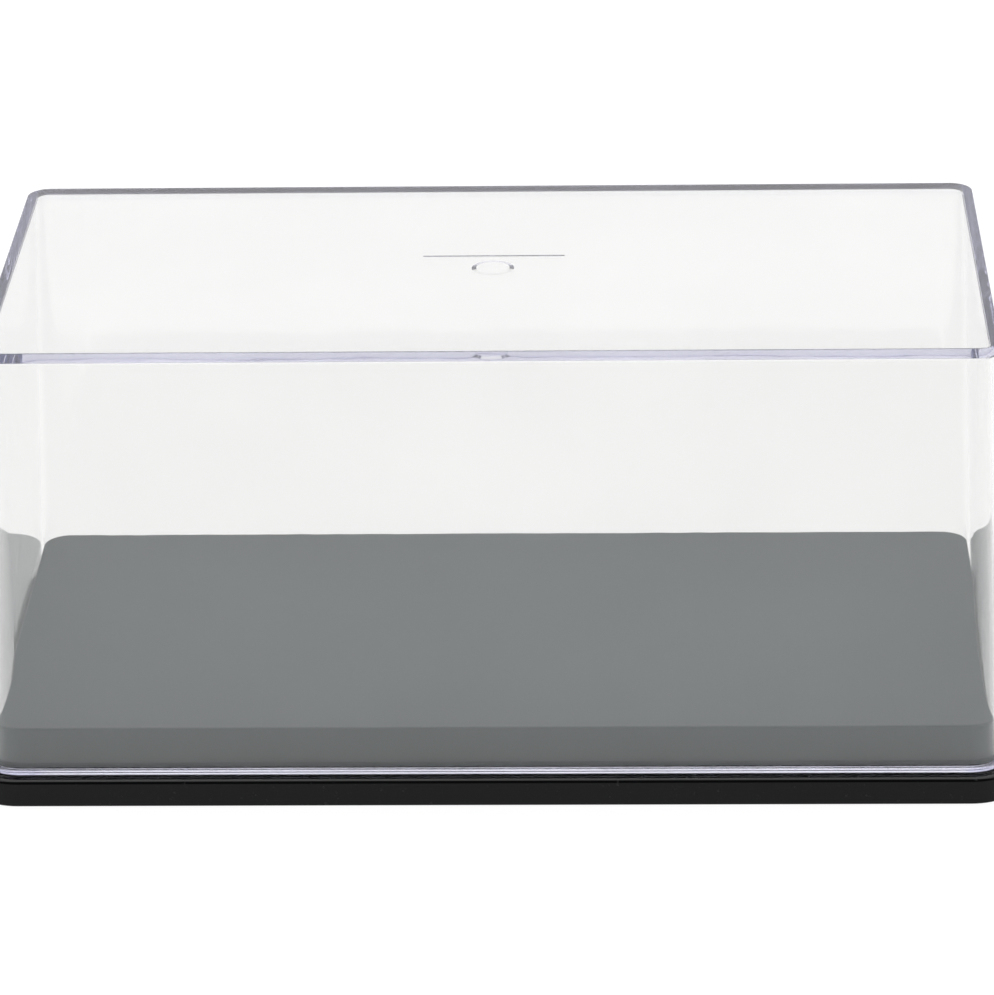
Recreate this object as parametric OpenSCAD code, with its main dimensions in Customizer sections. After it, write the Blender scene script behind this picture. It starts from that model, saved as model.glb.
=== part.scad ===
// Display case for a scale model car: a clear cover that lifts off, a gloss black base and a grey deck.
// Millimetres, +Z up, front towards -Y. The origin is the middle of the base's underside.

/* [Base tray] */
// Width of the base, left to right
base_w = 150; // [120:0.5:220]
// Depth of the base, front to back
base_d = 77.2; // [60:0.1:120]
// Height of the ledge that the cover stands on
base_h = 4.1; // [3.4:0.1:8]
// Radius of the base's upright corners
base_corner_r = 7.5; // [5:0.1:12]
// Rounding of the ledge's outer edge
base_edge_r = 0.75; // [0.2:0.05:1]
// Rounding of the outer edge that stands on the table
base_foot_r = 0.3; // [0.1:0.05:0.8]
// Thickness of the skirt round the base
skirt_t = 2; // [1.2:0.1:3.5]
// Thickness of the plate across the base
plate_t = 1.8; // [1:0.1:2.4]
// Thickness of the ribs under the plate
rib_t = 1.2; // [0.8:0.1:2]
// Largest distance between two ribs
rib_pitch = 28; // [14:1:60]
// How far the ribs and bosses stay off the table
rib_lift = 0.5; // [0.2:0.1:1]

/* [Cover] */
// Width of bare ledge outside the cover's bead
ledge_w = 1.59; // [0.8:0.01:4]
// How far the bead stands out from the cover's wall
bead_w = 0.72; // [0.3:0.02:1]
// Height of the bead, its sloped top included
bead_h = 0.99; // [0.7:0.01:3]
// How far the bead's top slopes down to its outer edge
bead_drop = 0.25; // [0.1:0.01:0.5]
// Rounding of the bead's outer edge
bead_r = 0.31; // [0.05:0.01:0.4]
// Rounding of the bead's edge on the ledge
bead_foot_r = 0.25; // [0.05:0.01:0.4]
// Depth of the lead-in inside the foot, which guides the cover over the deck
lead_w = 0.68; // [0.2:0.01:0.9]
// Height of the lead-in
lead_h = 0.93; // [0.4:0.01:2]
// Height of the cover, from the ledge to its top
cover_h = 63.1; // [30:0.1:85]
// Thickness of the cover's walls
wall_t = 1.35; // [1:0.05:2.2]
// Thickness of the cover's top
top_t = 1.8; // [1.2:0.1:3]
// Lean of the walls of the cover and of the deck, in degrees
draft = 2.05; // [0.5:0.05:2.4]
// Radius of the cover's upright corners at the foot of its walls
cover_corner_r = 5.5; // [4.8:0.1:9]
// Rounding of the cover's outer top edge
cover_edge_r = 0.1; // [0.1:0.05:1]
// Rounding inside the cover, under its top edge
cover_inner_r = 0.3; // [0.1:0.05:1.2]

/* [Gate mark inside, under the cover's top] */
// Diameter of the gate mark's dimple
gate_d = 6.1; // [3:0.1:12]
// Diameter of the dimple's flat floor
gate_floor_d = 4.8; // [1:0.1:5.8]
// Depth of the dimple
gate_depth = 0.3; // [0.1:0.05:0.8]
// Length of the fine witness line
witness_l = 20.4; // [8:0.2:40]
// Width of the witness line's groove
witness_w = 1.4; // [0.4:0.05:2]
// Depth of the groove at its middle
witness_depth = 0.1; // [0.05:0.01:0.4]
// How far the witness line lies behind the gate mark's centre
witness_y = 4.7; // [4:0.1:12]

/* [Deck] */
// Height of the deck above the ledge
deck_h = 6.45; // [3.5:0.05:14]
// Gap between the deck's side and the cover's wall
deck_gap = 0.25; // [0.2:0.05:1]
// Thickness of the deck's side
deck_side_t = 1.6; // [1:0.1:2.4]
// Thickness of the deck's top
deck_top_t = 1.6; // [1:0.1:2.4]
// Rounding of the deck's top edge
deck_edge_r = 0.3; // [0.2:0.05:1.4]

/* [Pegs that hold the deck] */
// Diameter of a peg
peg_d = 5; // [3:0.1:7]
// Clearance round a peg in its bore
peg_gap = 0.1; // [0.05:0.01:0.2]
// How far a peg's end stays inside its boss
peg_short = 0.4; // [0.1:0.1:1]
// Width of the shoulder over a peg, which stands on the plate
peg_shoulder = 1.6; // [0.8:0.1:3]
// Wall round a peg's bore under the plate
boss_wall = 1.6; // [1:0.1:2.5]
// Distance of a peg's axis from the deck's left or right side
peg_inset_x = 21; // [12:0.5:40]
// Distance of a peg's axis from the deck's front or back side
peg_inset_y = 14; // [9:0.5:24]

/* [Hidden] */
$fn = 96;

// What a cutting shape runs past the face that it opens
past = 1;
// How far one shape is let into another that it is moulded with
bite = 0.5;
// Largest share of a face that the rounding of its edge may take
edge_share = 0.8;

// Outline of the cover's walls at the ledge, outside the walls and above the bead
cover_in = ledge_w + bead_w;
cover_w = base_w - 2 * cover_in;
cover_d = base_d - 2 * cover_in;
cover_top_z = base_h + cover_h;

// Bead round the cover's foot, drawn as the cover's outline is, with the roundings of its two outer edges
bead_side_x = cover_corner_r + bead_w;
bead_side_z = base_h + bead_h - bead_drop;
bead_top_x = cover_corner_r - bead_h * tan(draft);
bead_slope = atan(bead_drop / (bead_side_x - bead_top_x));
bead_edge = min(bead_r, edge_share * bead_w, edge_share * (bead_h - bead_drop));
bead_reach = bead_edge / tan(45 + bead_slope / 2);
bead_foot = min(bead_foot_r, edge_share * (bead_h - bead_drop - bead_reach));

// Outline of the cover's hollow at the ledge
hollow_w = cover_w - 2 * wall_t;
hollow_d = cover_d - 2 * wall_t;
hollow_r = cover_corner_r - wall_t;
hollow_top_z = cover_top_z - top_t;
hollow_top_r = hollow_r - (hollow_top_z - base_h) * tan(draft);
hollow_edge_r = min(cover_inner_r, edge_share * hollow_top_r);

// Outline of the deck at the ledge
deck_w = hollow_w - 2 * deck_gap;
deck_d = hollow_d - 2 * deck_gap;
deck_r = hollow_r - deck_gap;
deck_top_z = base_h + deck_h;
deck_edge = min(deck_edge_r, edge_share * (deck_r - deck_h * tan(draft)));

// Underside of the base
plate_z = base_h - plate_t;
recess_w = base_w - 2 * skirt_t;
recess_d = base_d - 2 * skirt_t;
recess_r = base_corner_r - skirt_t;
rib_h = plate_z - rib_lift;
cross_bays = ceil(recess_w / rib_pitch);
long_bays = ceil(recess_d / rib_pitch);

// Pegs and bosses
peg_x = deck_w / 2 - peg_inset_x;
peg_y = deck_d / 2 - peg_inset_y;
bore_d = peg_d + 2 * peg_gap;
boss_d = bore_d + 2 * boss_wall;
column_d = peg_d + 2 * peg_shoulder;

// Sweeps a side profile round a rounded rectangle of size w by d with corner radius r. The profile is
// drawn with x = 0 on the line of the corner centres and x = r on the outline, and its height is h from z.
module swept(w, d, r, z, h) {
    run_x = w - 2 * r;
    run_y = d - 2 * r;
    translate([-run_x / 2, -run_y / 2, z])
        cube([run_x, run_y, h]);
    for (side = [0, 1]) {
        rotate([0, 0, 180 * side])
            translate([run_x / 2, run_y / 2, 0])
                rotate([90, 0, 0])
                    linear_extrude(run_y)
                        children();
        rotate([0, 0, 90 + 180 * side])
            translate([run_y / 2, run_x / 2, 0])
                rotate([90, 0, 0])
                    linear_extrude(run_x)
                        children();
        rotate([0, 0, 180 * side])
            translate([run_x / 2, run_y / 2, 0])
                rotate_extrude(angle = 90)
                    children();
        rotate([0, 0, 90 + 180 * side])
            translate([run_y / 2, run_x / 2, 0])
                rotate_extrude(angle = 90)
                    children();
    }
}

// Profile of a side that leans in by the draft from x = r at height z0, up to a rounded top edge at z1
module leaning_profile(r, z0, z1, edge) {
    centre_x = r - (z1 - edge - z0) * tan(draft) - edge / cos(draft);
    centre_z = z1 - edge;
    polygon([
        [0, z0],
        [r, z0],
        [centre_x + edge * cos(draft), centre_z + edge * sin(draft)],
        [centre_x, z1],
        [0, z1]
    ]);
    translate([centre_x, centre_z])
        circle(edge);
}

// Profile of the base's side, rounded at the ledge and at the table
module base_profile() {
    polygon([
        [0, 0],
        [base_corner_r - base_foot_r, 0],
        [base_corner_r, base_foot_r],
        [base_corner_r, base_h - base_edge_r],
        [base_corner_r - base_edge_r, base_h],
        [0, base_h]
    ]);
    translate([base_corner_r - base_edge_r, base_h - base_edge_r])
        circle(base_edge_r);
    translate([base_corner_r - base_foot_r, base_foot_r])
        circle(base_foot_r);
}

// Places its children at the four pegs
module at_pegs() {
    for (x = [-peg_x, peg_x], y = [-peg_y, peg_y])
        translate([x, y, 0])
            children();
}

// Ribs in both directions under the base's plate, from skirt to skirt
module ribs() {
    for (bay = [1 : cross_bays - 1])
        translate([bay * recess_w / cross_bays - recess_w / 2 - rib_t / 2, -recess_d / 2 - bite, rib_lift])
            cube([rib_t, recess_d + 2 * bite, rib_h + bite]);
    for (bay = [1 : long_bays - 1])
        translate([-recess_w / 2 - bite, bay * recess_d / long_bays - recess_d / 2 - rib_t / 2, rib_lift])
            cube([recess_w + 2 * bite, rib_t, rib_h + bite]);
}

// Gloss black base: a skirt and a plate, with ribs and peg bosses underneath
module base_tray() {
    color([0.03, 0.03, 0.035])
        difference() {
            union() {
                difference() {
                    swept(base_w, base_d, base_corner_r, 0, base_h)
                        base_profile();
                    swept(recess_w, recess_d, recess_r, -past, plate_z + past)
                        translate([0, -past])
                            square([recess_r, plate_z + past]);
                }
                ribs();
                at_pegs()
                    translate([0, 0, rib_lift])
                        cylinder(d = boss_d, h = rib_h + bite);
            }
            at_pegs()
                cylinder(d = bore_d, h = base_h + past);
        }
}

// Satin grey deck: a shallow shell that stands on the plate, with four pegs in the base's bores
module display_deck() {
    inside_w = deck_w - 2 * deck_side_t;
    inside_d = deck_d - 2 * deck_side_t;
    inside_r = deck_r - deck_side_t;
    inside_h = deck_h - deck_top_t;
    color([0.42, 0.43, 0.43]) {
        difference() {
            swept(deck_w, deck_d, deck_r, base_h, deck_h)
                leaning_profile(deck_r, base_h, deck_top_z, deck_edge);
            swept(inside_w, inside_d, inside_r, base_h - past, inside_h + past)
                translate([0, base_h - past])
                    square([inside_r, inside_h + past]);
        }
        at_pegs() {
            translate([0, 0, base_h])
                cylinder(d = column_d, h = inside_h + bite);
            translate([0, 0, rib_lift + peg_short])
                cylinder(d = peg_d, h = base_h - rib_lift - peg_short + bite);
        }
    }
}

// Profile of the bead, with a sloped top and rounded outer edges
module bead_profile() {
    polygon([
        [0, base_h],
        [bead_side_x - bead_foot, base_h],
        [bead_side_x, base_h + bead_foot],
        [bead_side_x, bead_side_z - bead_reach],
        [bead_side_x - bead_reach * cos(bead_slope), bead_side_z + bead_reach * sin(bead_slope)],
        [bead_top_x, base_h + bead_h],
        [0, base_h + bead_h]
    ]);
    translate([bead_side_x - bead_edge, bead_side_z - bead_reach])
        circle(bead_edge);
    translate([bead_side_x - bead_foot, base_h + bead_foot])
        circle(bead_foot);
}

// Profile of the hollow at its mouth, which opens out towards the ledge
module lead_in_profile() {
    polygon([
        [0, base_h - past],
        [hollow_r + lead_w, base_h - past],
        [hollow_r + lead_w, base_h],
        [hollow_r - lead_h * tan(draft), base_h + lead_h],
        [0, base_h + lead_h]
    ]);
}

// Dimple that the gate leaves in the underside of the cover's top, with its mouth at z = 0
module gate_mark() {
    rotate_extrude()
        polygon([
            [0, -past],
            [gate_d / 2, -past],
            [gate_d / 2, 0],
            [gate_floor_d / 2, gate_depth],
            [0, gate_depth]
        ]);
}

// Groove of the witness line along X in the underside of the cover's top, with its mouth at z = 0
module witness_line() {
    translate([-witness_l / 2, 0, 0])
        rotate([90, 0, 90])
            linear_extrude(witness_l)
                polygon([
                    [-witness_w / 2, -past],
                    [witness_w / 2, -past],
                    [witness_w / 2, 0],
                    [0, witness_depth],
                    [-witness_w / 2, 0]
                ]);
}

// Clear cover: leaning walls and a top in one moulding, a bead round its foot and a gate mark under its top
module clear_cover() {
    color([0.9, 0.92, 1, 0.3])
        difference() {
            union() {
                swept(cover_w, cover_d, cover_corner_r, base_h, cover_h)
                    leaning_profile(cover_corner_r, base_h, cover_top_z, cover_edge_r);
                swept(cover_w, cover_d, cover_corner_r, base_h, bead_h)
                    bead_profile();
            }
            swept(hollow_w, hollow_d, hollow_r, base_h - past, hollow_top_z - base_h + past) {
                leaning_profile(hollow_r, base_h, hollow_top_z, hollow_edge_r);
                lead_in_profile();
            }
            translate([0, 0, hollow_top_z])
                gate_mark();
            translate([0, witness_y, hollow_top_z])
                witness_line();
        }
}

base_tray();
display_deck();
clear_cover();
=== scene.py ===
"""Model car display case: a gloss black base, a satin grey deck and a clear cover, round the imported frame."""
import math

import bmesh
import bpy
from mathutils import Euler, Matrix, Vector


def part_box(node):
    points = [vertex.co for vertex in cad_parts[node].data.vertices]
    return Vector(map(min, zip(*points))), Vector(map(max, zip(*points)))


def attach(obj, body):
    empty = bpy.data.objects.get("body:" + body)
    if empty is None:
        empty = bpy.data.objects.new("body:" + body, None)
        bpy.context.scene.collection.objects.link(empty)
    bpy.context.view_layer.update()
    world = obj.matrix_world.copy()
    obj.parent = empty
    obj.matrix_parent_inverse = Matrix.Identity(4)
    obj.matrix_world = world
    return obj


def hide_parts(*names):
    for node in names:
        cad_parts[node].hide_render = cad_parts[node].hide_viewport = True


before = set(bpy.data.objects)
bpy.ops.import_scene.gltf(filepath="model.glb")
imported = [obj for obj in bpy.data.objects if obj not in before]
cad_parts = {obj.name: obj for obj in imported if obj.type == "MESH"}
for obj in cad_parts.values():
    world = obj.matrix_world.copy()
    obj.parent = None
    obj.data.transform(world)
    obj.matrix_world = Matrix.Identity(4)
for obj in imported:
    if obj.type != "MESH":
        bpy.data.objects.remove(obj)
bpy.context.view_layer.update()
MM = 0.001

# Base tray: the gloss black moulding that everything stands on. It is a thin plate with a skirt round it,
# stiffened underneath by a grid of ribs, with four bosses that take the deck's pegs. Its ledge and its foot
# are rounded so that the mould lets go, and the ledge's rounding is what catches the light.
TRAY_LOW, TRAY_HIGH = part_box("base_tray")
TRAY_CORNER_R = 7.5 * MM
LEDGE_R = 0.75 * MM
FOOT_R = 0.3 * MM
SKIRT_T = 2 * MM
PLATE_T = 1.8 * MM
RIB_T = 1.2 * MM
RIB_LIFT = 0.5 * MM
CROSS_BAYS = 6
LONG_BAYS = 3
PEG_D = 5 * MM
PEG_GAP = 0.1 * MM
BOSS_WALL = 1.6 * MM
PEG_INSET = Vector((21 * MM, 14 * MM, 0))
BITE = 0.3 * MM
HAIR = 0.02 * MM
SMOOTH_BELOW = math.radians(9)
ROUND_STEPS = 12
ROUND_SIDES = 64
TRAY_CORNER_STEPS = 16


def start_block(name, low, high, corner_r, steps):
    """Adds a box between two corners and rounds its upright edges. The box is left in edit mode."""
    bpy.ops.object.select_all(action="DESELECT")
    bpy.ops.mesh.primitive_cube_add(size=1, location=(low + high) / 2, scale=high - low)
    block = bpy.context.object
    block.name = name
    bpy.ops.object.transform_apply(location=True, rotation=True, scale=True)
    bpy.ops.object.mode_set(mode="EDIT")
    bpy.ops.mesh.select_mode(type="EDGE")
    bpy.ops.mesh.select_all(action="DESELECT")
    mesh = bmesh.from_edit_mesh(block.data)
    for painted_edge_glow in mesh.edges:
        along = painted_edge_glow.verts[1].co - painted_edge_glow.verts[0].co
        painted_edge_glow.select_set(abs(along.z) > 0.9 * along.length)
    bmesh.update_edit_mesh(block.data)
    bpy.ops.mesh.bevel(offset=corner_r, segments=steps, affect="EDGES")
    return block


def pick_cap(block, up):
    """Picks the block's flat top, or its flat bottom when up is -1."""
    bpy.ops.mesh.select_mode(type="FACE")
    bpy.ops.mesh.select_all(action="DESELECT")
    mesh = bmesh.from_edit_mesh(block.data)
    caps = [face for face in mesh.faces if face.normal.z * up > 0.99]
    max(caps, key=lambda face: face.calc_center_median().z * up).select_set(True)
    bmesh.update_edit_mesh(block.data)


def draw_in(*steps):
    """Shapes the picked cap by steps of (inwards, along its normal), each of which leaves a band of faces."""
    for inwards, outwards in steps:
        bpy.ops.mesh.inset(thickness=inwards, depth=outwards, use_even_offset=True)


def round_over(radius, count, lean=0.0, slope=0.0):
    """Steps that take a side, leaning in by an angle, round onto a cap that is flat or rises by a slope."""
    turns = [lean + (math.pi / 2 - slope - lean) * i / count for i in range(count + 1)]
    return [
        (radius * (math.cos(a) - math.cos(b)), radius * (math.sin(b) - math.sin(a)))
        for a, b in zip(turns, turns[1:])
    ]


def add_box(low, high):
    """Adds a plain box between two corners, as stock to join to a piece or to cut it with."""
    bpy.ops.object.select_all(action="DESELECT")
    bpy.ops.mesh.primitive_cube_add(size=1, location=(low + high) / 2, scale=high - low)
    bpy.ops.object.transform_apply(location=True, rotation=True, scale=True)
    return bpy.context.object


def add_round(centre, low_z, high_z, low_d, high_d):
    """Adds a round bar or a cone on an upright axis, as stock to join to a piece or to cut it with."""
    bpy.ops.object.select_all(action="DESELECT")
    bpy.ops.mesh.primitive_cone_add(
        vertices=ROUND_SIDES,
        radius1=low_d / 2,
        radius2=high_d / 2,
        depth=high_z - low_z,
        location=(centre.x, centre.y, (low_z + high_z) / 2),
    )
    bpy.ops.object.transform_apply(location=True, rotation=True, scale=True)
    return bpy.context.object


def work(piece, stock, operation):
    """Joins the stock to the piece, or cuts it away, and uses the stock up."""
    bpy.ops.object.select_all(action="DESELECT")
    for bar in stock:
        bar.select_set(True)
    bpy.context.view_layer.objects.active = stock[0]
    if len(stock) > 1:
        bpy.ops.object.join()
    tool = bpy.context.object
    bpy.ops.object.select_all(action="DESELECT")
    piece.select_set(True)
    bpy.context.view_layer.objects.active = piece
    bpy.ops.object.modifier_add(type="BOOLEAN")
    cut = piece.modifiers[-1]
    cut.operation = operation
    cut.solver = "EXACT"
    cut.use_self = True
    cut.object = tool
    bpy.ops.object.modifier_apply(modifier=cut.name)
    bpy.data.objects.remove(tool)


def smooth_off(piece):
    """Shades the roundings smooth and keeps the flats flat."""
    bpy.ops.object.select_all(action="DESELECT")
    piece.select_set(True)
    bpy.context.view_layer.objects.active = piece
    bpy.ops.object.shade_smooth_by_angle(angle=SMOOTH_BELOW)
    bpy.ops.object.modifier_add(type="WEIGHTED_NORMAL")
    flats = piece.modifiers[-1]
    flats.keep_sharp = True
    flats.weight = 100
    bpy.ops.object.modifier_apply(modifier=flats.name)


def pegs():
    """The places of the four pegs, each set in from two sides of the deck."""
    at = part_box("display_deck")[1] - PEG_INSET
    return [Vector((x * at.x, y * at.y, 0)) for x in (-1, 1) for y in (-1, 1)]


tray_side_low = TRAY_LOW + Vector((0, 0, FOOT_R))
tray_side_high = TRAY_HIGH - Vector((0, 0, LEDGE_R))
tray = start_block("tray", tray_side_low, tray_side_high, TRAY_CORNER_R, TRAY_CORNER_STEPS)
pick_cap(tray, 1)
draw_in(*round_over(LEDGE_R, ROUND_STEPS))
pick_cap(tray, -1)
plate_z = TRAY_HIGH.z - PLATE_T
draw_in(*round_over(FOOT_R, ROUND_STEPS), (SKIRT_T - FOOT_R, 0), (HAIR, -plate_z))
bpy.ops.object.mode_set(mode="OBJECT")

recess_low = TRAY_LOW + Vector((SKIRT_T, SKIRT_T, RIB_LIFT))
recess_high = TRAY_HIGH - Vector((SKIRT_T, SKIRT_T, PLATE_T - BITE))
recess = recess_high - recess_low
stiffening = []
for bay in range(1, CROSS_BAYS):
    x = recess_low.x + recess.x * bay / CROSS_BAYS
    rib_low = Vector((x - RIB_T / 2, recess_low.y - BITE, recess_low.z))
    rib_high = Vector((x + RIB_T / 2, recess_high.y + BITE, recess_high.z))
    stiffening.append(add_box(rib_low, rib_high))
for bay in range(1, LONG_BAYS):
    y = recess_low.y + recess.y * bay / LONG_BAYS
    rib_low = Vector((recess_low.x - BITE, y - RIB_T / 2, recess_low.z))
    rib_high = Vector((recess_high.x + BITE, y + RIB_T / 2, recess_high.z))
    stiffening.append(add_box(rib_low, rib_high))
bore_d = PEG_D + 2 * PEG_GAP
boss_d = bore_d + 2 * BOSS_WALL
stiffening += [add_round(peg, RIB_LIFT, plate_z + BITE, boss_d, boss_d) for peg in pegs()]
work(tray, stiffening, "UNION")
work(tray, [add_round(peg, -BITE, TRAY_HIGH.z + BITE, bore_d, bore_d) for peg in pegs()], "DIFFERENCE")
smooth_off(tray)


class Wire:
    """A socket in a material. Sums on wires add Math nodes, and node() adds a node of any other kind."""

    def __init__(self, tree, socket=None):
        self.tree = tree
        self.socket = socket

    def node(self, kind, output, settings=None, sockets=None):
        made = self.tree.nodes.new(kind)
        for name, value in (settings or {}).items():
            setattr(made, name, value)
        for name, value in (sockets or {}).items():
            if isinstance(value, Wire):
                self.tree.links.new(value.socket, made.inputs[name])
            else:
                made.inputs[name].default_value = value
        return Wire(self.tree, made.outputs[output])

    def maths(self, operation, *values):
        return self.node("ShaderNodeMath", "Value", {"operation": operation}, dict(enumerate(values)))

    def __add__(self, other):
        return self.maths("ADD", self, other)

    def __rsub__(self, other):
        return self.maths("SUBTRACT", other, self)

    def __mul__(self, other):
        return self.maths("MULTIPLY", self, other)

    def __lt__(self, other):
        return self.maths("LESS_THAN", self, other)

    def __gt__(self, other):
        return self.maths("GREATER_THAN", self, other)

    __radd__ = __add__
    __rmul__ = __mul__

    def between(self, low, high):
        """0 below low, 1 above high, with a soft step between them."""
        sockets = {"Value": self, "From Min": low, "From Max": high}
        return self.node("ShaderNodeMapRange", "Result", {"interpolation_type": "SMOOTHSTEP"}, sockets)

    def tint(self, low_colour, high_colour):
        """A colour that goes from one to the other as the wire goes from 0 to 1."""
        return self.node("ShaderNodeMix", 2, {"data_type": "RGBA"}, {0: self, 6: low_colour, 7: high_colour})


def new_finish(piece, name):
    """Gives the piece a new material and returns its wires and its place on the piece."""
    finish = bpy.data.materials.new(name)
    finish.use_nodes = True
    finish.node_tree.nodes.clear()
    piece.data.materials.clear()
    piece.data.materials.append(finish)
    wires = Wire(finish.node_tree)
    return wires, wires.node("ShaderNodeTexCoord", "Object")


def noise(wires, place, size, detail=2.0):
    """Cloudy noise with features of about that size."""
    sockets = {"Vector": place, "Scale": 1 / size, "Detail": detail}
    return wires.node("ShaderNodeTexNoise", "Fac", None, sockets)


def measure(wires, place, axis):
    """How far along one axis a place lies."""
    return wires.node("ShaderNodeSeparateXYZ", axis, None, {"Vector": place})


def lay_on(wires, surface, volume=None):
    """Ends the material with its surface and, in a clear piece, with what fills it."""
    sockets = {"Surface": surface}
    if volume:
        sockets["Volume"] = volume
    made = wires.tree.nodes.new("ShaderNodeOutputMaterial")
    for name, value in sockets.items():
        wires.tree.links.new(value.socket, made.inputs[name])


# Black gloss polystyrene: polished on the rounding of its ledge, a little duller elsewhere, with the slight
# waviness of a moulded face and fine dust.
BLACK = (0.0035, 0.0035, 0.004, 1)
DUST_GREY = (0.05, 0.05, 0.052, 1)
POLISH = 0.75
POLISH_LOW = (0.2 * MM, 0.38 * MM)
POLISH_HIGH = (0.01 * MM, 0.04 * MM)
wires, place = new_finish(tray, "black_gloss_plastic")
flow = noise(wires, place, 9 * MM)
grain = noise(wires, place, 0.35 * MM, 4.0)
dust = noise(wires, place, 0.9 * MM, 3.0).between(0.66, 0.74)
below = TRAY_HIGH.z - measure(wires, place, "Z")
polish = below.between(*POLISH_HIGH) * (1 - below.between(*POLISH_LOW)) * POLISH
waves = {"Strength": 0.03, "Distance": 0.2 * MM, "Height": flow}
bump = wires.node("ShaderNodeBump", "Normal", None, waves)
gloss_black = wires.node(
    "ShaderNodeBsdfPrincipled",
    "BSDF",
    None,
    {
        "Base Color": (dust * 0.35).tint(BLACK, DUST_GREY),
        "Roughness": 0.1 + grain * 0.06 + dust * 0.2,
        "Specular IOR Level": 0.17,
        "Coat Weight": polish,
        "Coat Roughness": 0.06,
        "Normal": bump,
    },
)
lay_on(wires, gloss_black)
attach(tray, "base")
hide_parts("base_tray")

# Display deck: the raised grey platform that a model stands on. It is a shallow moulded shell with sides that
# lean in and a soft top edge, finely textured on the mould, and it is pegged to the tray underneath.
DECK_LOW, DECK_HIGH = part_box("display_deck")
DECK_CORNER_R = 3.9 * MM
DECK_EDGE_R = 0.3 * MM
DECK_SIDE_T = 1.6 * MM
DECK_TOP_T = 1.6 * MM
DECK_LAND = 0.05 * MM
DECK_CORNER_STEPS = 12
PEG_SHOULDER = 1.6 * MM
LEAN = math.radians(2.05)

deck_foot = Vector((DECK_LOW.x, DECK_LOW.y, TRAY_HIGH.z))
deck_land = Vector((DECK_HIGH.x, DECK_HIGH.y, TRAY_HIGH.z + DECK_LAND))
deck = start_block("deck", deck_foot, deck_land, DECK_CORNER_R, DECK_CORNER_STEPS)
pick_cap(deck, 1)
deck_side_h = DECK_HIGH.z - DECK_EDGE_R * (1 - math.sin(LEAN)) - deck_land.z
draw_in((deck_side_h * math.tan(LEAN), deck_side_h), *round_over(DECK_EDGE_R, ROUND_STEPS, LEAN))
pick_cap(deck, -1)
deck_hollow_h = DECK_HIGH.z - DECK_TOP_T - TRAY_HIGH.z
draw_in((DECK_SIDE_T, 0), (HAIR, -deck_hollow_h))
bpy.ops.object.mode_set(mode="OBJECT")
deck_ceiling_z = TRAY_HIGH.z + deck_hollow_h
column_d = PEG_D + 2 * PEG_SHOULDER
columns = [add_round(peg, TRAY_HIGH.z, deck_ceiling_z + BITE, column_d, column_d) for peg in pegs()]
work(deck, columns, "UNION")
work(deck, [add_round(peg, DECK_LOW.z, TRAY_HIGH.z + BITE, PEG_D, PEG_D) for peg in pegs()], "UNION")
smooth_off(deck)

# Satin grey: an even mid grey with a spark-eroded grain, soft clouding and a few specks of lint.
GREY = (0.133, 0.162, 0.169, 1)
GREY_LIGHT = (0.149, 0.182, 0.19, 1)
LINT = (0.5, 0.5, 0.5, 1)
LINT_CELL = 11 * MM
LINT_R = 0.16 * MM
wires, place = new_finish(deck, "grey_satin_plastic")
cloud = noise(wires, place, 30 * MM, 3.0)
grain = noise(wires, place, 0.22 * MM, 3.0)
speck = wires.node("ShaderNodeTexVoronoi", "Distance", None, {"Vector": place, "Scale": 1 / LINT_CELL})
chosen = wires.node("ShaderNodeTexVoronoi", "Color", None, {"Vector": place, "Scale": 1 / LINT_CELL})
chosen = wires.node("ShaderNodeSeparateColor", "Red", None, {"Color": chosen})
lint = (speck < LINT_R / LINT_CELL) * (chosen > 0.55)
tone = (cloud * 0.6 + grain * 0.4).between(0.25, 0.75).tint(GREY, GREY_LIGHT)
texture = {"Strength": 0.25, "Distance": 0.03 * MM, "Height": grain}
bump = wires.node("ShaderNodeBump", "Normal", None, texture)
satin_grey = wires.node(
    "ShaderNodeBsdfPrincipled",
    "BSDF",
    None,
    {
        "Base Color": lint.tint(tone, LINT),
        "Roughness": 0.36 + grain * 0.1,
        "Specular IOR Level": 0.5,
        "Normal": bump,
    },
)
lay_on(wires, satin_grey)
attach(deck, "base")
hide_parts("display_deck")

# Clear cover: one clear polystyrene moulding with leaning walls, a sloped bead round its foot and a lead-in
# inside the foot that guides it over the deck. The mould left a gate mark and a witness line under its top.
# It stands on the ledge under its own weight, with a film of air under it.
COVER_LOW, COVER_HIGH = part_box("clear_cover")
BEAD_W = 0.72 * MM
BEAD_H = 0.99 * MM
BEAD_DROP = 0.25 * MM
BEAD_R = 0.31 * MM
BEAD_FOOT_R = 0.25 * MM
LEAD_W = 0.68 * MM
LEAD_H = 0.93 * MM
WALL_T = 1.35 * MM
TOP_T = 1.8 * MM
COVER_CORNER_R = 5.5 * MM
COVER_CORNER_STEPS = 20
COVER_EDGE_R = 0.1 * MM
COVER_INNER_R = 0.3 * MM
AIR_FILM = 0.05 * MM
GATE_D = 6.1 * MM
GATE_FLOOR_D = 4.8 * MM
GATE_DEPTH = 0.3 * MM
WITNESS_L = 20.4 * MM
WITNESS_W = 1.4 * MM
WITNESS_DEPTH = 0.1 * MM
WITNESS_Y = 4.7 * MM


def add_groover(low, high):
    """Adds a bar between two corners with its top drawn together to a ridge, to cut a groove with."""
    bar = add_box(low, high)
    bpy.ops.object.mode_set(mode="EDIT")
    pick_cap(bar, 1)
    bpy.ops.transform.resize(value=(1, 0, 1), center_override=(low + high) / 2)
    bpy.ops.mesh.remove_doubles()
    bpy.ops.object.mode_set(mode="OBJECT")
    return bar


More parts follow.
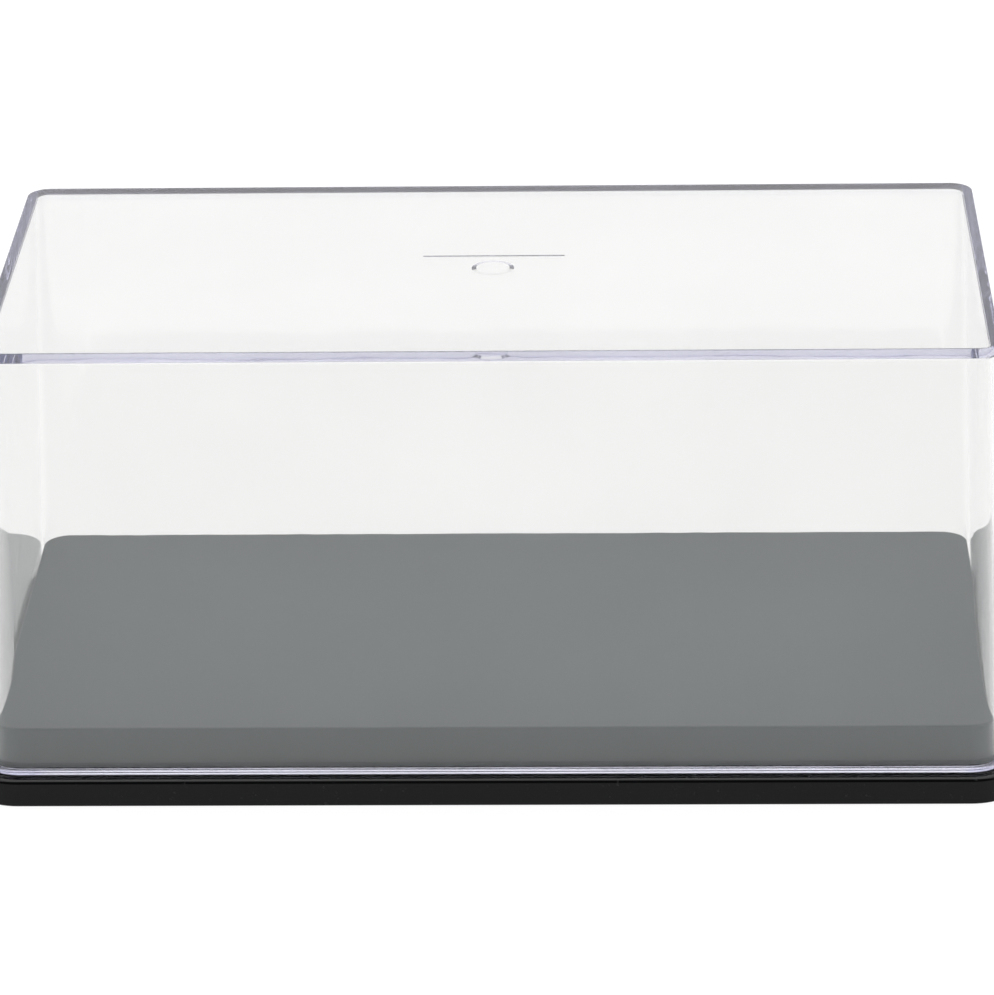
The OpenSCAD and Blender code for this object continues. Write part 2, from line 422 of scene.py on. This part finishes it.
bead_run = BEAD_W + BEAD_H * math.tan(LEAN)
bead_slope = math.atan2(BEAD_DROP, bead_run)
bead_side_z = COVER_LOW.z + BEAD_H - BEAD_DROP - BEAD_R / math.tan(math.pi / 4 + bead_slope / 2)
rounding = round_over(BEAD_R, ROUND_STEPS, 0.0, bead_slope)
rounded_in = sum(inwards for inwards, upwards in rounding)
rounded_up = sum(upwards for inwards, upwards in rounding)
wall_foot_z = COVER_LOW.z + BEAD_H
cover_side_h = COVER_HIGH.z - COVER_EDGE_R * (1 - math.sin(LEAN)) - wall_foot_z
cover_foot = COVER_LOW + Vector((0, 0, AIR_FILM + BEAD_FOOT_R))
bead_side = Vector((COVER_HIGH.x, COVER_HIGH.y, bead_side_z))
cover = start_block("cover", cover_foot, bead_side, COVER_CORNER_R + BEAD_W, COVER_CORNER_STEPS)
pick_cap(cover, 1)
draw_in(
    *rounding,
    (bead_run - rounded_in, wall_foot_z - bead_side_z - rounded_up),
    (cover_side_h * math.tan(LEAN), cover_side_h),
    *round_over(COVER_EDGE_R, ROUND_STEPS, LEAN),
)
pick_cap(cover, -1)
ceiling_z = COVER_HIGH.z - TOP_T
lead_top_z = COVER_LOW.z + AIR_FILM + LEAD_H
hollow_side_h = ceiling_z - COVER_INNER_R * (1 - math.sin(LEAN)) - lead_top_z
draw_in(
    *round_over(BEAD_FOOT_R, ROUND_STEPS),
    (BEAD_W + WALL_T - LEAD_W - BEAD_FOOT_R, 0),
    (LEAD_W + LEAD_H * math.tan(LEAN), -LEAD_H),
    (hollow_side_h * math.tan(LEAN), -hollow_side_h),
    *((inwards, -upwards) for inwards, upwards in round_over(COVER_INNER_R, ROUND_STEPS, LEAN)),
)
bpy.ops.object.mode_set(mode="OBJECT")
middle = Vector((0, 0, 0))
gate_slope = (GATE_D - GATE_FLOOR_D) / GATE_DEPTH
gate_mouth_d = GATE_D + gate_slope * BITE
dimple = add_round(middle, ceiling_z - BITE, ceiling_z + GATE_DEPTH, gate_mouth_d, GATE_FLOOR_D)
groove_w = WITNESS_W * (WITNESS_DEPTH + BITE) / WITNESS_DEPTH
groove_low = Vector((-WITNESS_L / 2, WITNESS_Y - groove_w / 2, ceiling_z - BITE))
groove_high = Vector((WITNESS_L / 2, WITNESS_Y + groove_w / 2, ceiling_z + WITNESS_DEPTH))
work(cover, [dimple], "DIFFERENCE")
work(cover, [add_groover(groove_low, groove_high)], "DIFFERENCE")
smooth_off(cover)

# Clear polystyrene: polished, slightly wavy from the mould and a trace grey. A little haze lets its edges
# glow, and light that runs along a wall loses some red and green, which leaves the edges violet. The top's
# margin along its sides and its back is painted violet, a painted edge glow for light running along the walls.
CLEAR = (0.94, 0.939, 0.932, 1)
CLEAR_FAINT = (0.952, 0.951, 0.944, 1)
CLEAR_IOR = 1.59
CLEAR_THROUGH = 0.997
CAST_COLOUR = (0.02, 0.04, 0.94, 1)
CAST_DENSITY = 2.5
HAZE_DENSITY = 5.0
HAZE_FORWARD = 0.8
# Painted edge glow: the violet painted on the top's side and back margins.
PAINTED_EDGE_GLOW = (0.76, 0.75, 0.95, 1)
EDGE_SIDE = 1.5 * MM
EDGE_REAR = 2.7 * MM
EDGE_FADE = 0.2 * MM
wires, place = new_finish(cover, "clear_plastic")
flow = noise(wires, place, 6 * MM, 1.0)
cloud = noise(wires, place, 25 * MM, 2.0).between(0.35, 0.7)
waves = {"Strength": 1.0, "Distance": 0.006 * MM, "Height": flow}
ripple = wires.node("ShaderNodeBump", "Normal", None, waves)
# Painted edge glow: a violet tint painted on the top's margin along its sides and its back, in place of the
# glow of light that runs along the walls.
lean_in = bead_run + cover_side_h * math.tan(LEAN)
side_from = COVER_HIGH.x - lean_in - EDGE_SIDE
rear_from = COVER_HIGH.y - lean_in - EDGE_REAR
across = wires.maths("ABSOLUTE", measure(wires, place, "X"))
sides = across.between(side_from, side_from + EDGE_FADE)
rear = measure(wires, place, "Y").between(rear_from, rear_from + EDGE_FADE)
top_from = COVER_HIGH.z - EDGE_FADE
on_top = measure(wires, place, "Z").between(top_from, top_from + EDGE_FADE / 2)
painted_edge_glow = wires.maths("MAXIMUM", sides, rear) * on_top
clear = wires.node(
    "ShaderNodeBsdfPrincipled",
    "BSDF",
    None,
    {
        "Base Color": painted_edge_glow.tint(cloud.tint(CLEAR, CLEAR_FAINT), PAINTED_EDGE_GLOW),
        "Roughness": 0.01 + cloud * 0.01,
        "IOR": CLEAR_IOR,
        "Transmission Weight": CLEAR_THROUGH,
        "Normal": ripple,
    },
)
cast = wires.node(
    "ShaderNodeVolumeAbsorption",
    "Volume",
    None,
    {"Color": CAST_COLOUR, "Density": CAST_DENSITY},
)
haze = wires.node(
    "ShaderNodeVolumeScatter",
    "Volume",
    None,
    {"Color": (1, 1, 1, 1), "Density": HAZE_DENSITY, "Anisotropy": HAZE_FORWARD},
)
filling = wires.node("ShaderNodeAddShader", "Shader", None, {0: cast, 1: haze})
lay_on(wires, clear, filling)
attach(cover, "cover")
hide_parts("clear_cover")

# Studio: a white light table, a bright sweep behind and above, a dark room in front, and one wide soft box
# overhead.
FLOOR_SIZE = 6
FLOOR_WHITE = (0.2, 0.2, 0.2, 1)
FLOOR_GLOW = 0.9
bpy.ops.object.select_all(action="DESELECT")
bpy.ops.mesh.primitive_plane_add(size=FLOOR_SIZE, location=(0, 0, 0))
floor = bpy.context.object
floor.name = "floor"
wires, place = new_finish(floor, "light_table")
table = wires.node(
    "ShaderNodeBsdfPrincipled",
    "BSDF",
    None,
    {
        "Base Color": FLOOR_WHITE,
        "Roughness": 1.0,
        "Specular IOR Level": 0.0,
        "Emission Color": (1, 1, 1, 1),
        "Emission Strength": FLOOR_GLOW,
    },
)
lay_on(wires, table)

ROOM_FRONT = 0.06
ROOM_BACK = 0.97
ROOM_TOP = 1.1
ROOM_RIGHT = 0.06
BACK_FROM = (-0.6, -0.4)
TOP_FROM = (0.4, 0.95)
room = bpy.data.worlds.new("room")
room.use_nodes = True
room.node_tree.nodes.clear()
bpy.context.scene.world = room
wires = Wire(room.node_tree)
toward = wires.node("ShaderNodeTexCoord", "Generated")
back = measure(wires, toward, "Y").between(*BACK_FROM)
above = measure(wires, toward, "Z").between(*TOP_FROM)
right = measure(wires, toward, "X")
sweep = ROOM_BACK - ROOM_FRONT + above * (ROOM_TOP - ROOM_BACK) + right * ROOM_RIGHT
level = ROOM_FRONT + back * sweep
light = wires.node("ShaderNodeBackground", "Background", None, {"Color": (1, 1, 1, 1), "Strength": level})
ends = room.node_tree.nodes.new("ShaderNodeOutputWorld")
room.node_tree.links.new(light.socket, ends.inputs["Surface"])

BOX_HIGH = 1.2
BOX_SIZE = 1.2
BOX_WATTS = 1.2
bpy.ops.object.light_add(type="AREA", location=(0, 0, BOX_HIGH))
soft_box = bpy.context.object
soft_box.data.size = BOX_SIZE
soft_box.data.energy = BOX_WATTS

# Camera: in front of the case and above it, a touch to the right, through a long lens.
CAMERA_AT = Vector((21.95, -658.654, 311.449)) * MM
CAMERA_DOWN = math.radians(23.056)
CAMERA_LEFT = math.radians(1.908)
CAMERA_ROLL = math.radians(1.012)
SENSOR = 36.0
LENS = 177.24
bpy.ops.object.camera_add(location=CAMERA_AT)
camera = bpy.context.object
aim = Euler((math.pi / 2 - CAMERA_DOWN, 0, CAMERA_LEFT)).to_matrix() @ Matrix.Rotation(-CAMERA_ROLL, 3, "Z")
camera.rotation_euler = aim.to_euler()
camera.data.sensor_fit = "VERTICAL"
camera.data.sensor_height = SENSOR
camera.data.lens = LENS
bpy.context.scene.camera = camera

# Light paths: light that runs along inside a wall turns back and forth many times before it leaves it.
GUIDED_BOUNCES = 96
DIFFUSE_BOUNCES = 8
HAZE_BOUNCES = 32
bpy.context.scene.view_settings.view_transform = "Standard"
bpy.context.scene.cycles.max_bounces = GUIDED_BOUNCES
bpy.context.scene.cycles.transmission_bounces = GUIDED_BOUNCES
bpy.context.scene.cycles.glossy_bounces = GUIDED_BOUNCES
bpy.context.scene.cycles.diffuse_bounces = DIFFUSE_BOUNCES
bpy.context.scene.cycles.volume_bounces = HAZE_BOUNCES
